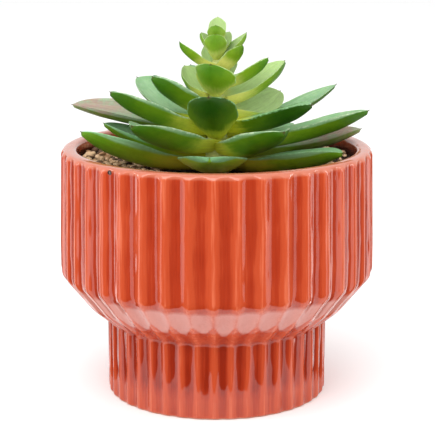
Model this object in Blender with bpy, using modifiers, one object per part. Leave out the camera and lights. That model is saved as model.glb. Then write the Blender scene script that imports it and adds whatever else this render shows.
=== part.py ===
"""Potted succulent: a fluted, footed ceramic pot with soil, gravel, a stem and separate leaves.

The origin is at the centre of the foot's underside, +Z is up and the front faces -Y.
All lengths are in metres and all angles in degrees unless a comment says otherwise.
"""
import math
from dataclasses import dataclass

import bpy
import numpy as np

MM = 0.001

# ---- sizes that drive the rest -------------------------------------------------------------
POT_RADIUS = 70.0 * MM          # over the ridge crests, at the widest part of the body
POT_HEIGHT = 111.0 * MM         # foot underside to the top of the rim
FOOT_RADIUS = 49.3 * MM         # over the ridge crests of the foot
FOOT_HEIGHT = 33.5 * MM         # where the foot meets the bowl
BOWL_TOP = 55.5 * MM            # where the bowl turns into the upright body
WALL = 8.2 * MM                 # wall thickness, measured inward from the ridge crests
RIBS = 42                       # ridges round the pot
RIB_DEPTH = 1.4 * MM            # ridge crest to flute bottom, on the body
FOOT_RIB_DEPTH = 1.1 * MM       # the same on the foot
FIRST_RIB = -91.2               # direction of one ridge crest, seen from above
FLOOR = 9.0 * MM                # pot floor, above the table
RECESS = 3.0 * MM               # hollow under the foot, inside the foot ring
FOOT_RING = 9.0 * MM            # width of the flat ring the pot stands on
GAP = 0.3 * MM                  # clear space left between touching pieces
SOIL_BELOW_RIM = 11.5 * MM      # soil surface at the stem, below the top of the rim
SOIL_DIP = 0.8 * MM             # how much lower the soil is at the wall
GRAVEL_RISE = 6.5 * MM          # gravel against the wall, above the soil at the stem
PLANT_FOR_CAVITY = 61.8 * MM    # pot radius inside the wall that the plant's sizes suit
STEM_SHAPE = (                  # (height above the soil, radius) up the stem
    (-7.5 * MM, 5.6 * MM), (10.5 * MM, 5.2 * MM), (30.5 * MM, 3.8 * MM),
    (48.5 * MM, 2.2 * MM), (58.5 * MM, 1.2 * MM),
)
STEM_TIP = 60.5 * MM            # stem end above the soil
STEM_DEPTH = 15.5 * MM          # stem end below the soil surface
TURN_STEPS = 56                 # steps round a turned piece
POINTS_PER_RIB = 4              # points across one ridge and its flute

# ---- sizes worked out from those -----------------------------------------------------------
CAVITY_RADIUS = POT_RADIUS - WALL
FOOT_CAVITY_RADIUS = FOOT_RADIUS - WALL
SOIL_RADIUS = CAVITY_RADIUS - GAP
SOIL_TOP = POT_HEIGHT - SOIL_BELOW_RIM
GRAVEL_EDGE = SOIL_TOP + GRAVEL_RISE
PLANT_SCALE = CAVITY_RADIUS / PLANT_FOR_CAVITY   # a wider pot holds a bigger plant
GRAVEL_INNER = 0.39 * SOIL_RADIUS
STEM_HOLE = STEM_SHAPE[0][1] * PLANT_SCALE + GAP


@dataclass(frozen=True)
class Leaf:
    """One leaf: where it leaves the stem, where its tip is, and its section.

    Lengths are in millimetres, and heights are above the soil. The tip is given by its
    distance from the pot's axis and its height. Sag is how far the middle hangs below a
    straight line. Roll turns the blade about its own length. Cup is how far the edges stand
    up, as a share of half the width.
    """

    name: str
    direction: float
    base_height: float
    reach: float
    tip_height: float
    width: float
    sag: float
    roll: float = 0.0
    cup: float = 0.42


LEAVES = (
    Leaf("leaf_a1_back", 80.0, 57.5, 4.0, 68.3, 8.0, 0.8),
    Leaf("leaf_a2_front", 265.0, 56.5, 4.5, 65.5, 8.0, 0.8),
    Leaf("leaf_b1_front", 264.0, 51.0, 8.5, 62.0, 10.0, 1.0),
    Leaf("leaf_b2_lback", 155.0, 53.5, 7.4, 61.6, 7.0, 1.0),
    Leaf("leaf_b3_rback", 50.0, 52.5, 9.0, 61.5, 8.0, 1.0),
    Leaf("leaf_b4_right", 18.0, 49.5, 14.0, 61.5, 8.0, 1.0),
    Leaf("leaf_c1_rfront", 325.0, 44.5, 14.0, 57.5, 12.0, 1.0),
    Leaf("leaf_c2_left", 196.0, 46.5, 17.0, 58.5, 9.0, 1.5),
    Leaf("leaf_c3_back", 110.0, 43.5, 13.0, 56.5, 9.0, 1.0),
    Leaf("leaf_d1_lfront", 262.0, 35.5, 19.0, 50.5, 19.0, 2.5, -15.0),
    Leaf("leaf_d2_right", 348.0, 38.5, 23.0, 51.5, 13.0, 2.0),
    Leaf("leaf_d3_lback", 140.0, 32.5, 19.0, 46.0, 16.0, 2.5),
    Leaf("leaf_d4_back", 75.0, 37.0, 20.0, 52.5, 12.0, 2.0),
    Leaf("leaf_e1_left", 205.0, 26.5, 31.0, 44.5, 22.0, 2.0),
    Leaf("leaf_e2_rback", 24.0, 30.5, 34.0, 48.0, 18.0, 3.0),
    Leaf("leaf_e3_rback", 38.0, 24.5, 37.0, 33.0, 21.0, 3.0, 22.0),
    Leaf("leaf_e5_back", 97.0, 22.6, 41.0, 40.0, 12.0, 3.0),
    Leaf("leaf_e6_back", 115.0, 27.0, 30.0, 44.5, 15.0, 3.0),
    Leaf("leaf_f0_right", 1.0, 12.3, 68.0, 27.5, 22.0, 4.0, -5.0),
    Leaf("leaf_f1_front", 266.0, 16.5, 36.0, 39.0, 22.0, 3.0),
    Leaf("leaf_f2_left", 199.0, 18.3, 49.0, 38.3, 22.0, 3.0, 5.0),
    Leaf("leaf_f3_lback", 145.0, 20.6, 44.0, 39.3, 22.0, 3.0, -12.0),
    Leaf("leaf_f4_right", 336.0, 19.7, 45.0, 33.0, 22.0, 3.0),
    Leaf("leaf_f5_rback", 30.0, 16.5, 64.5, 34.8, 13.0, 3.5, 4.0),
    Leaf("leaf_f6_back", 115.0, 16.7, 56.0, 30.5, 19.0, 3.0),
    Leaf("leaf_f7_back", 65.0, 13.5, 56.0, 27.0, 16.0, 3.0),
    Leaf("leaf_g1_lfront", 229.0, 11.5, 54.0, 27.5, 26.0, 3.0),
    Leaf("leaf_g2_rfront", 304.0, 10.3, 51.0, 25.2, 25.0, 3.0),
    Leaf("leaf_g4_left", 163.0, 14.0, 69.5, 27.0, 20.0, -1.0, -8.0),
    Leaf("leaf_g5_right", 12.0, 6.9, 67.5, 17.0, 20.0, 2.5),
    Leaf("leaf_g6_back", 84.0, 8.3, 60.0, 19.5, 19.0, 2.0),
    Leaf("leaf_g7_lback", 166.0, 6.5, 53.0, 20.0, 17.0, 3.0),
    Leaf("leaf_h1_left", 195.0, 3.5, 61.5, 21.0, 23.0, 5.0, 12.0),
    Leaf("leaf_h3_rfront", 337.0, 3.1, 60.0, 12.9, 24.0, 2.5, -5.0),
    Leaf("leaf_h4_front", 268.0, 4.5, 60.0, 17.5, 29.0, 2.5, 0.0, 0.2),
    Leaf("leaf_h5_rback", 54.0, 3.3, 60.0, 14.0, 23.0, 2.0),
    Leaf("leaf_h6_lback", 124.0, 4.1, 60.0, 14.5, 23.0, 2.0),
)


def stem_radius(height):
    """Give the stem's radius at a height above the soil, by straight steps, both in mm."""
    heights = [h / MM for h, _ in STEM_SHAPE]
    radii = [r / MM for _, r in STEM_SHAPE]
    return float(np.interp(height, heights, radii))


def finish(name, colour, roughness):
    """Make one plain Principled material."""
    made = bpy.data.materials.new(name)
    made.use_nodes = True
    shader = made.node_tree.nodes["Principled BSDF"]
    shader.inputs["Base Color"].default_value = (*colour, 1.0)
    shader.inputs["Roughness"].default_value = roughness
    shader.inputs["Metallic"].default_value = 0.0
    return made


def add_object(name, mesh, collection, parent=None, material=None):
    """Wrap a mesh in an object, file it in a collection and hang it on its parent."""
    made = bpy.data.objects.new(name, mesh)
    collection.objects.link(made)
    if parent is not None:
        made.parent = parent
    if material is not None:
        mesh.materials.append(material)
    return made


def smooth(mesh):
    """Shade every face of a mesh smooth."""
    mesh.shade_smooth()


def loft(name, rings, start=None, end=None):
    """Join rings of equal count into a closed skin, closed at each end by one centre point.

    Rings run from the first end to the last and each turns the same way; the end points
    default to the middle of the end rings.
    """
    rings = [np.asarray(ring, dtype=float) for ring in rings]
    count = len(rings[0])
    start = rings[0].mean(axis=0) if start is None else np.asarray(start, dtype=float)
    end = rings[-1].mean(axis=0) if end is None else np.asarray(end, dtype=float)
    points = np.vstack([*rings, start[None, :], end[None, :]])
    first, last = len(points) - 2, len(points) - 1
    step = np.arange(count)
    after = (step + 1) % count
    faces = []
    for level in range(len(rings) - 1):
        low, high = level * count, (level + 1) * count
        faces += np.stack([low + step, low + after, high + after, high + step], 1).tolist()
    top = (len(rings) - 1) * count
    faces += np.stack([top + step, top + after, np.full(count, last)], 1).tolist()
    faces += np.stack([after, step, np.full(count, first)], 1).tolist()
    mesh = bpy.data.meshes.new(name)
    mesh.from_pydata(points.tolist(), [], faces)
    mesh.update()
    return mesh


def turned(name, profile, collection, steps=TURN_STEPS, parent=None, material=None):
    """Turn a profile of (radius, height) about +Z with a Screw modifier.

    The profile starts on or near the axis at the top, runs down its outer side, and ends at
    the bottom.
    """
    mesh = bpy.data.meshes.new(name)
    points = [(radius, 0.0, height) for radius, height in profile]
    edges = [(i, i + 1) for i in range(len(points) - 1)]
    mesh.from_pydata(points, edges, [])
    made = add_object(name, mesh, collection, parent, material)
    screw = made.modifiers.new("Turn", "SCREW")
    screw.axis = "Z"
    screw.angle = math.tau
    screw.steps = steps
    screw.render_steps = steps
    screw.use_merge_vertices = True
    screw.merge_threshold = 0.00001
    screw.use_smooth_shade = True
    return made


def cut(target, cutter):
    """Take a cutter out of a piece with an exact Boolean."""
    step = target.modifiers.new("Cut " + cutter.name, "BOOLEAN")
    step.operation = "DIFFERENCE"
    step.solver = "EXACT"
    step.object = cutter


def cavity_profile(inset):
    """Give the inside of the pot, offset inward, from under the rim down to the floor."""
    wall = CAVITY_RADIUS - inset
    foot = FOOT_CAVITY_RADIUS - inset
    return [
        (wall, BOWL_TOP + 2.0 * MM),
        (wall - 6.0 * MM, BOWL_TOP - 7.0 * MM),
        (foot + 4.0 * MM, FOOT_HEIGHT + 5.0 * MM),
        (foot, FOOT_HEIGHT - 1.0 * MM),
        (foot, FLOOR + 3.0 * MM + inset),
        (foot - 4.0 * MM, FLOOR + inset),
        (0.0, FLOOR + inset),
    ]


def fluted_ring(radius, height, depth):
    """Give one level ring of the pot's outside, ridged by the depth given.

    Across one ridge the radius is full at the crest, then drops to the flute and stays low,
    so that the ridges are narrow and the flutes wide.
    """
    share = np.array([0.0, 0.72, 1.0, 0.72])[:POINTS_PER_RIB]
    turn = np.arange(RIBS * POINTS_PER_RIB) / (RIBS * POINTS_PER_RIB) * math.tau
    turn = turn + math.radians(FIRST_RIB)
    reach = radius - depth * np.tile(share, RIBS)
    return np.stack([reach * np.cos(turn), reach * np.sin(turn), np.full(len(turn), height)], 1)


def build_pot(collection, cutters, parent, material):
    """Loft the fluted outside, then cut the turned inside and the hollow under the foot."""
    body, foot = RIB_DEPTH, FOOT_RIB_DEPTH
    levels = [
        (FOOT_RADIUS - 1.8 * MM, 0.0, 0.0),
        (FOOT_RADIUS - 0.5 * MM, 0.8 * MM, 0.4 * foot),
        (FOOT_RADIUS, 3.0 * MM, foot),
        (FOOT_RADIUS, FOOT_HEIGHT, foot),
        (FOOT_RADIUS + 6.2 * MM, FOOT_HEIGHT + 5.0 * MM, foot),
        (POT_RADIUS - 10.2 * MM, FOOT_HEIGHT + 9.0 * MM, body),
        (POT_RADIUS - 3.3 * MM, BOWL_TOP - 5.5 * MM, body),
        (POT_RADIUS - 0.7 * MM, BOWL_TOP - 1.6 * MM, body),
        (POT_RADIUS, BOWL_TOP + 2.5 * MM, body),
        (POT_RADIUS - 0.3 * MM, 80.0 * MM, body),
        (POT_RADIUS - 0.8 * MM, POT_HEIGHT - 8.0 * MM, body),
        (POT_RADIUS - 1.7 * MM, POT_HEIGHT - 4.2 * MM, 0.5 * body),
        (POT_RADIUS - 3.6 * MM, POT_HEIGHT - 1.2 * MM, 0.0),
        (POT_RADIUS - 5.6 * MM, POT_HEIGHT, 0.0),
        (POT_RADIUS - 7.4 * MM, POT_HEIGHT - 0.3 * MM, 0.0),
    ]
    rings = [fluted_ring(radius, height, depth) for radius, height, depth in levels]
    mesh = loft("pot", rings)
    smooth(mesh)
    pot = add_object("pot", mesh, collection, parent, material)
    mouth = [
        (0.0, POT_HEIGHT + 4.0 * MM),
        (CAVITY_RADIUS + 3.0 * MM, POT_HEIGHT + 4.0 * MM),
        (CAVITY_RADIUS + 0.6 * MM, POT_HEIGHT - 0.5 * MM),
        (CAVITY_RADIUS, POT_HEIGHT - 2.2 * MM),
    ]
    inside = turned("pot_inside_cutter", mouth + cavity_profile(0.0), cutters, parent=parent)
    ring_inner = FOOT_RADIUS - 1.8 * MM - FOOT_RING
    hollow = [
        (0.0, RECESS), (ring_inner - 1.5 * MM, RECESS), (ring_inner, RECESS - 1.5 * MM),
        (ring_inner, -3.0 * MM), (0.0, -3.0 * MM),
    ]
    under = turned("foot_hollow_cutter", hollow, cutters, parent=parent)
    cut(pot, inside)
    cut(pot, under)
    return pot


def build_soil(collection, parent, material):
    """Turn the soil that fills the pot, with a blind hole for the stem."""
    bottom = SOIL_TOP - STEM_DEPTH * PLANT_SCALE - GAP
    profile = [
        (0.0, bottom), (STEM_HOLE, bottom), (STEM_HOLE, SOIL_TOP),
        (GRAVEL_INNER, SOIL_TOP), (SOIL_RADIUS, SOIL_TOP - SOIL_DIP),
    ]
    return turned("soil", profile + cavity_profile(GAP), collection, 48, parent, material)


def build_gravel(collection, parent, material):
    """Loft the gravel lying on the soil: one lumpy ring, higher against the pot wall."""
    spots = np.arange(60) / 60.0 * math.tau
    lumps = 0.5 * np.sin(7.0 * spots + 0.4) + 0.35 * np.sin(13.0 * spots + 1.1)
    counter = 0.5 * np.sin(9.0 * spots + 2.0) + 0.35 * np.sin(17.0 * spots)
    outer = SOIL_RADIUS
    stops = [
        (outer, SOIL_TOP - SOIL_DIP + GAP, 0.0),
        (outer, GRAVEL_EDGE, 0.5 * MM),
        (outer - 4.0 * MM, GRAVEL_EDGE - 0.2 * MM, 0.7 * MM),
        (0.81 * outer, GRAVEL_EDGE - 2.0 * MM, 0.6 * MM),
        (0.61 * outer, GRAVEL_EDGE - 3.8 * MM, 0.5 * MM),
        (GRAVEL_INNER, SOIL_TOP + 1.4 * MM, 0.4 * MM),
        (GRAVEL_INNER, SOIL_TOP + GAP, 0.0),
    ]
    rings = []
    for index, (radius, height, rough) in enumerate(stops):
        wave = lumps if index % 2 else counter
        rise = height + rough * wave
        rings.append(np.stack([radius * np.cos(spots), radius * np.sin(spots), rise], 1))
    count = len(spots)
    points = np.vstack(rings)
    step = np.arange(count)
    after = (step + 1) % count
    faces = []
    for level in range(len(rings)):
        low, high = level * count, ((level + 1) % len(rings)) * count
        faces += np.stack([low + step, low + after, high + after, high + step], 1).tolist()
    mesh = bpy.data.meshes.new("gravel")
    mesh.from_pydata(points.tolist(), [], faces)
    mesh.update()
    smooth(mesh)
    return add_object("gravel", mesh, collection, parent, material)


def build_stem(collection, parent, material):
    """Turn the stem, blunt below and rounded off above."""
    low = STEM_SHAPE[0][1]
    upper = [(radius, height) for height, radius in reversed(STEM_SHAPE)]
    profile = [(0.0, STEM_TIP), (0.7 * MM, STEM_TIP - 0.6 * MM)] + upper
    profile += [(low, 1.5 * MM - STEM_DEPTH), (low - 1.5 * MM, -STEM_DEPTH), (0.0, -STEM_DEPTH)]
    placed = [(radius * PLANT_SCALE, SOIL_TOP + height * PLANT_SCALE) for radius, height in profile]
    return turned("stem", placed, collection, 20, parent, material)


def leaf_rings(leaf, rows, points):
    """Give the rings of one leaf, pointing along +X, with z = 0 at the leaf's base height.

    The midline is a simple bend from the stem to the tip. The width grows as a sine to its
    widest place and then closes as a rounded end. Each ring is a lens whose underside is
    full and whose upper side is nearly flat, lifted at its edges by the cup.
    """
    base = np.array([stem_radius(leaf.base_height) + 0.4, 0.0])
    tip = np.array([leaf.reach, leaf.tip_height - leaf.base_height])
    chord = tip - base
    below = np.array([chord[1], -chord[0]]) / np.hypot(*chord)
    middle = (base + tip) / 2.0 + below * leaf.sag * 2.0
    along = np.linspace(0.0, 1.0, rows) ** 0.9
    left = 1.0 - along
    line = (left**2)[:, None] * base + (2 * along * left)[:, None] * middle
    line = line + (along**2)[:, None] * tip
    slope = left[:, None] * (middle - base) + along[:, None] * (tip - middle)
    slope = slope / np.linalg.norm(slope, axis=1)[:, None]
    centre = np.stack([line[:, 0], np.zeros(rows), line[:, 1]], 1)
    rise = np.stack([-slope[:, 1], np.zeros(rows), slope[:, 0]], 1)
    side = np.tile([0.0, 1.0, 0.0], (rows, 1))
    roll = np.radians(leaf.roll) * np.clip(along / 0.5, 0.0, 1.0)
    turned_side = side * np.cos(roll)[:, None] + rise * np.sin(roll)[:, None]
    turned_rise = rise * np.cos(roll)[:, None] - side * np.sin(roll)[:, None]

    widest = 0.62
    start = min(0.45, 8.0 / leaf.width) if leaf.width > 10.0 else 0.5
    grow = start + (1.0 - start) * np.sin(np.clip(along / widest, 0, 1) * math.pi / 2) ** 1.15
    close = np.clip(1.0 - np.clip((along - widest) / (1.0 - widest), 0, 1) ** 2.1, 0, 1) ** 0.72
    half = leaf.width / 2.0 * np.where(along < widest, grow, close)
    thick = (1.4 + 0.095 * leaf.width) * (0.75 + 0.25 * np.clip(along / 0.3, 0, 1))
    thick = thick * (1.0 - 0.6 * np.clip((along - 0.75) / 0.25, 0, 1) ** 1.5)
    thick = np.minimum(thick, half * 0.9 + 0.3)

    turn = np.arange(points) / points * math.tau
    across, through = np.cos(turn), np.sin(turn)
    lift = leaf.cup * half[:, None] * across**2 * np.clip(along / 0.25, 0, 1)[:, None]
    lift = lift + np.where(through > 0, 0.22 * through, 0.78 * through) * thick[:, None]
    rings = centre[:, None, :] + turned_side[:, None, :] * (half[:, None] * across)[:, :, None]
    return (rings + turned_rise[:, None, :] * lift[:, :, None]) * MM * PLANT_SCALE


def build_leaf(leaf, collection, parent, material):
    """Loft one leaf along +X, then stand it at its height and turn it to its direction."""
    big = leaf.width > 12.5
    rings = leaf_rings(leaf, 8 if big else 7, 10 if big else 8)
    body, tip = rings[:-1], rings[-1].mean(axis=0)
    mesh = loft(leaf.name, list(body), end=tip)
    smooth(mesh)
    made = add_object(leaf.name, mesh, collection, parent, material)
    made.location = (0.0, 0.0, SOIL_TOP + leaf.base_height * MM * PLANT_SCALE)
    made.rotation_euler = (0.0, 0.0, math.radians(leaf.direction))
    return made


def main():
    """Clear the file and build every piece."""
    for old in list(bpy.data.objects):
        bpy.data.objects.remove(old, do_unlink=True)
    pieces = bpy.data.collections.new("Potted succulent")
    cutters = bpy.data.collections.new("Cutters")
    bpy.context.scene.collection.children.link(pieces)
    bpy.context.scene.collection.children.link(cutters)
    cutters.hide_render = True

    glaze = finish("Coral glaze", (0.74, 0.20, 0.11), 0.18)
    earth = finish("Dark soil", (0.045, 0.026, 0.016), 0.95)
    grit = finish("Cream gravel", (0.62, 0.48, 0.32), 0.85)
    stalk = finish("Pale stem", (0.55, 0.60, 0.22), 0.5)
    green = finish("Leaf green", (0.13, 0.27, 0.05), 0.42)
    young = finish("Young leaf green", (0.30, 0.45, 0.12), 0.42)

    holder = bpy.data.objects.new("potted_succulent", None)
    pieces.objects.link(holder)
    build_pot(pieces, cutters, holder, glaze)
    build_soil(pieces, holder, earth)
    build_gravel(pieces, holder, grit)
    build_stem(pieces, holder, stalk)
    for leaf in LEAVES:
        build_leaf(leaf, pieces, holder, young if leaf.base_height > 30.0 else green)
    for cutter in cutters.objects:
        cutter.hide_render = True
        cutter.display_type = "WIRE"


main()
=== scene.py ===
"""Potted succulent: a rosette of thick leaves in a fluted, footed pot with a coral glaze.

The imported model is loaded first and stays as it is; every piece here is made in its frame,
in metres, with +Z up, the front facing -Y and the origin under the middle of the foot.
"""

import logging
import math
from dataclasses import dataclass, field
from enum import Enum

import bpy
import numpy as np
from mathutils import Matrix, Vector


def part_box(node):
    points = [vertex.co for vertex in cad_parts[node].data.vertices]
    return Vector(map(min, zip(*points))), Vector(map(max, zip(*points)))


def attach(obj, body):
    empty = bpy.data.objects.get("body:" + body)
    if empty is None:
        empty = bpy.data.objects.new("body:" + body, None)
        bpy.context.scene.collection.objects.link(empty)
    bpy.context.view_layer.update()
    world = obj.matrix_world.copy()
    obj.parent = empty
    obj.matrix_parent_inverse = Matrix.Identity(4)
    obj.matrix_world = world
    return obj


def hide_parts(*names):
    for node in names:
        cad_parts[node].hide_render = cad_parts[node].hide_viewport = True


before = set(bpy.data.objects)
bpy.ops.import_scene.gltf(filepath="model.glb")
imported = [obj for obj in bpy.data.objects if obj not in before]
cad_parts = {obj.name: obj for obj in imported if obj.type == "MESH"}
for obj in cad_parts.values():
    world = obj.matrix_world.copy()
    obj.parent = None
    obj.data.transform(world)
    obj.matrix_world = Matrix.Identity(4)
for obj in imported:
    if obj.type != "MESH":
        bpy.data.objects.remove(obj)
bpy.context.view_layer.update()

LOG = logging.getLogger("potted_succulent")
MM = 0.001
TAU = math.tau
Colour = tuple[float, float, float]
Spot = tuple[float, float, float]


# ---- shader maths --------------------------------------------------------------------------
class Signal:
    """A shader socket that can be used in Python arithmetic; each operator adds a Math node."""

    def __init__(self, bench: "Bench", socket: bpy.types.NodeSocket) -> None:
        """Keep the socket and the bench that it belongs to."""
        self.bench = bench
        self.socket = socket

    def _math(self, operation: str, *values: object, clamp: bool = False) -> "Signal":
        """Add one Math node.

        Args:
            operation: The node's operation.
            values: Its inputs, in order, as numbers or signals.
            clamp: Whether the result is held between 0 and 1.

        Returns:
            The node's result.
        """
        settings = {"operation": operation, "use_clamp": clamp}
        return self.bench.node("ShaderNodeMath", settings, dict(enumerate(values)))

    def __add__(self, other: object) -> "Signal":
        """Add."""
        return self._math("ADD", self, other)

    __radd__ = __add__

    def __sub__(self, other: object) -> "Signal":
        """Subtract."""
        return self._math("SUBTRACT", self, other)

    def __rsub__(self, other: object) -> "Signal":
        """Subtract from a number."""
        return self._math("SUBTRACT", other, self)

    def __mul__(self, other: object) -> "Signal":
        """Multiply."""
        return self._math("MULTIPLY", self, other)

    __rmul__ = __mul__

    def clip(self) -> "Signal":
        """Hold between 0 and 1."""
        return self._math("ADD", self, 0.0, clamp=True)

    def fade(self, low: float, high: float) -> "Signal":
        """Run smoothly from 0 at low to 1 at high.

        Args:
            low: Where the result is 0.
            high: Where the result is 1; it may be the smaller of the two.

        Returns:
            The eased share.
        """
        share = ((self - low) * (1.0 / (high - low))).clip()
        return share * share * (3.0 - 2.0 * share)


class Bench:
    """One material's nodes, and the one method that adds any of them."""

    def __init__(self, name: str) -> None:
        """Start an empty material with its output."""
        self.material = bpy.data.materials.new(name)
        self.material.use_nodes = True
        self.tree = self.material.node_tree
        self.tree.nodes.clear()
        self.out = self.tree.nodes.new("ShaderNodeOutputMaterial")

    def node(
        self, kind: str, settings: dict | None = None, inputs: dict | None = None,
        output: int | str = 0,
    ) -> Signal:
        """Add a node, set it up, then feed its sockets.

        Args:
            kind: The node's type.
            settings: Attributes of the node, which are set first.
            inputs: Socket name or index to a value or a signal.
            output: Which output to return.

        Returns:
            The chosen output.
        """
        made = self.tree.nodes.new(kind)
        for key, value in (settings or {}).items():
            setattr(made, key, value)
        for key, value in (inputs or {}).items():
            if isinstance(value, Signal):
                self.tree.links.new(value.socket, made.inputs[key])
            else:
                made.inputs[key].default_value = value
        return Signal(self, made.outputs[output])

    def place(self) -> Signal:
        """Give the object coordinates, in metres."""
        return self.node("ShaderNodeTexCoord", output="Object")

    def attribute(self, name: str) -> Signal:
        """Read a number stored on the mesh."""
        return self.node("ShaderNodeAttribute", {"attribute_name": name}, output="Fac")

    def stretch(self, where: Signal, scale: Colour) -> Signal:
        """Scale a vector along each axis."""
        return self.node(
            "ShaderNodeVectorMath", {"operation": "MULTIPLY"}, {0: where, 1: scale}
        )

    def noise(
        self, where: Signal, size: float, detail: float = 3.0, roughness: float = 0.5,
    ) -> Signal:
        """Give cloudy noise between 0 and 1.

        Args:
            where: The coordinates that it follows.
            size: The width of one cloud, in the units of the coordinates.
            detail: How many finer layers it has.
            roughness: How strong the finer layers are.

        Returns:
            The noise value.
        """
        return self.node(
            "ShaderNodeTexNoise", {},
            {"Vector": where, "Scale": 1.0 / size, "Detail": detail, "Roughness": roughness},
        )

    def cells(self, where: Signal, size: float, output: str = "Distance") -> Signal:
        """Give a cell pattern: the distance to the nearest point, or its random colour."""
        return self.node(
            "ShaderNodeTexVoronoi", {}, {"Vector": where, "Scale": 1.0 / size}, output
        )

    def mix(self, share: object, first: object, second: object) -> Signal:
        """Blend two colours.

        Args:
            share: How much of the second, from 0 to 1.
            first: A colour or a signal.
            second: A colour or a signal.

        Returns:
            The blended colour.
        """
        first = first if isinstance(first, Signal) else (*first, 1.0)
        second = second if isinstance(second, Signal) else (*second, 1.0)
        return self.node(
            "ShaderNodeMix", {"data_type": "RGBA"}, {0: share, 6: first, 7: second}, 2
        )

    def bump(self, height: Signal, distance: float, strength: float = 1.0) -> Signal:
        """Turn a height between 0 and 1 into a normal.

        Args:
            height: The height pattern.
            distance: The height in metres that 1 stands for.
            strength: How much of the bump is used.

        Returns:
            The bumped normal.
        """
        return self.node(
            "ShaderNodeBump", {},
            {"Height": height, "Distance": distance, "Strength": strength},
        )

    def surface(self, **inputs: object) -> bpy.types.Material:
        """Finish the material with a Principled shader.

        Args:
            inputs: Socket names, with underscores for spaces, to values or signals.

        Returns:
            The material.
        """
        named = {key.replace("_", " "): value for key, value in inputs.items()}
        shader = self.node("ShaderNodeBsdfPrincipled", {}, named)
        self.tree.links.new(shader.socket, self.out.inputs["Surface"])
        return self.material


# ---- finishes ------------------------------------------------------------------------------
@dataclass(frozen=True)
class CoralGlaze:
    """A glossy coral glaze that pools dark in the flutes and breaks pale over the ridges.

    The colours run from deep, where the glaze is thickest, to ridge, where it is thinnest.
    The painted table reflection is a pale pink band under the body: mostly a painted reflection
    of the table, partly the glaze breaking a little paler over the turn. Bare clay shows under
    the foot, and bubble is the middle of one burst bubble below the rim, with a dark pit round
    a pale heart.
    """

    deep: Colour = (0.23, 0.013, 0.001)
    pooled: Colour = (0.33, 0.028, 0.006)
    body: Colour = (0.44, 0.056, 0.016)
    ridge: Colour = (0.58, 0.125, 0.056)
    rim: Colour = (0.52, 0.155, 0.090)
    # Painted reflection of the pale table, laid over the band under the body.
    painted_table_reflection: Colour = (0.52, 0.225, 0.185)
    clay: Colour = (0.52, 0.33, 0.22)
    # Painted shade: the inside of the pot is darkened where the rim and the plant shade it.
    inside: Colour = (0.055, 0.012, 0.006)
    pit_dark: Colour = (0.03, 0.008, 0.004)
    pit_heart: Colour = (0.85, 0.66, 0.58)
    bubble: Spot = (-44.6 * MM, -52.0 * MM, 108.9 * MM)

    def material(self) -> bpy.types.Material:
        """Build the glaze from the marks on the pot's mesh.

        Returns:
            The material, which reads the ridge, rim, reflection band, inner and bare attributes;
            the band paints a reflection of the table under the body, and inner paints shade
            inside.
        """
        bench = Bench("Coral glaze")
        where = bench.place()
        ridge = bench.attribute("ridge")
        rim = bench.attribute("rim")
        bare = bench.attribute("bare")
        runs = bench.noise(bench.stretch(where, (1.0, 1.0, 0.06)), 2.0 * MM, 4.0, 0.6)
        clouds = bench.noise(bench.stretch(where, (1.0, 1.0, 0.35)), 12.0 * MM, 3.0, 0.55)
        fine = bench.noise(where, 0.9 * MM, 2.0, 0.6)
        thin = ridge + (runs - 0.5) * 0.9 + (clouds - 0.5) * 0.5
        streaks = bench.noise(bench.stretch(where, (1.0, 1.0, 0.03)), 0.8 * MM, 2.0, 0.5)
        thin = thin + (streaks - 0.5) * 0.8
        colour = bench.mix(thin.fade(-0.60, 0.0), self.deep, self.pooled)
        colour = bench.mix(thin.fade(0.0, 0.60), colour, self.body)
        colour = bench.mix(thin.fade(0.75, 1.20) * 0.9, colour, self.ridge)
        colour = bench.mix((rim + (clouds - 0.5) * 0.5).fade(0.3, 1.0) * 0.8, colour, self.rim)
        # Painted reflection: a pale pink band under the body stands in for the table mirrored in
        # the glaze, over glaze that breaks a little paler at the turn.
        painted_reflection_band = bench.attribute("painted_reflection_band")
        painted_reflection_share = (painted_reflection_band + (clouds - 0.5) * 0.9 + (streaks - 0.5) * 0.25).fade(0.20, 1.10)
        colour = bench.mix(painted_reflection_share * painted_reflection_band.fade(0.0, 0.3) * 0.85, colour, self.painted_table_reflection)
        away = bench.node(
            "ShaderNodeVectorMath", {"operation": "DISTANCE"}, {0: where, 1: self.bubble}, 1
        )
        pit = away.fade(1.40 * MM, 1.20 * MM)
        colour = bench.mix(pit, colour, self.pit_dark)
        colour = bench.mix(away.fade(0.90 * MM, 0.70 * MM), colour, self.pit_heart)
        # Painted shade on the inside of the pot, from just over the rim's inner edge downwards.
        colour = bench.mix(bench.attribute("inner") * 0.92, colour, self.inside)
        colour = bench.mix(bare, colour, self.clay)
        ripple = bench.noise(bench.stretch(where, (1.0, 1.0, 0.25)), 6.0 * MM, 2.0, 0.5)
        bump = bench.bump(ripple - pit * 0.7 + fine * 0.02, 0.30 * MM, 0.5)
        return bench.surface(
            Base_Color=colour,
            Roughness=0.05 + clouds * 0.05 + bare * 0.7,
            IOR=1.6,
            Normal=bump,
        )


class LeafKind(Enum):
    """The leaf colourings, from the pale heart of the rosette to its blushed outer leaves."""

    HEART = "heart"
    INNER = "inner"
    # Painted shade: the middle colouring with shade painted in, darkest under the tip.
    MIDDLE = "middle"
    PAINTED_SHADE = "dark"
    OUTER = "outer"
    # Painted light: the outer colouring with a lit underside painted in.
    PAINTED_LIGHT = "front"
    BLUSHED = "blushed"


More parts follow.
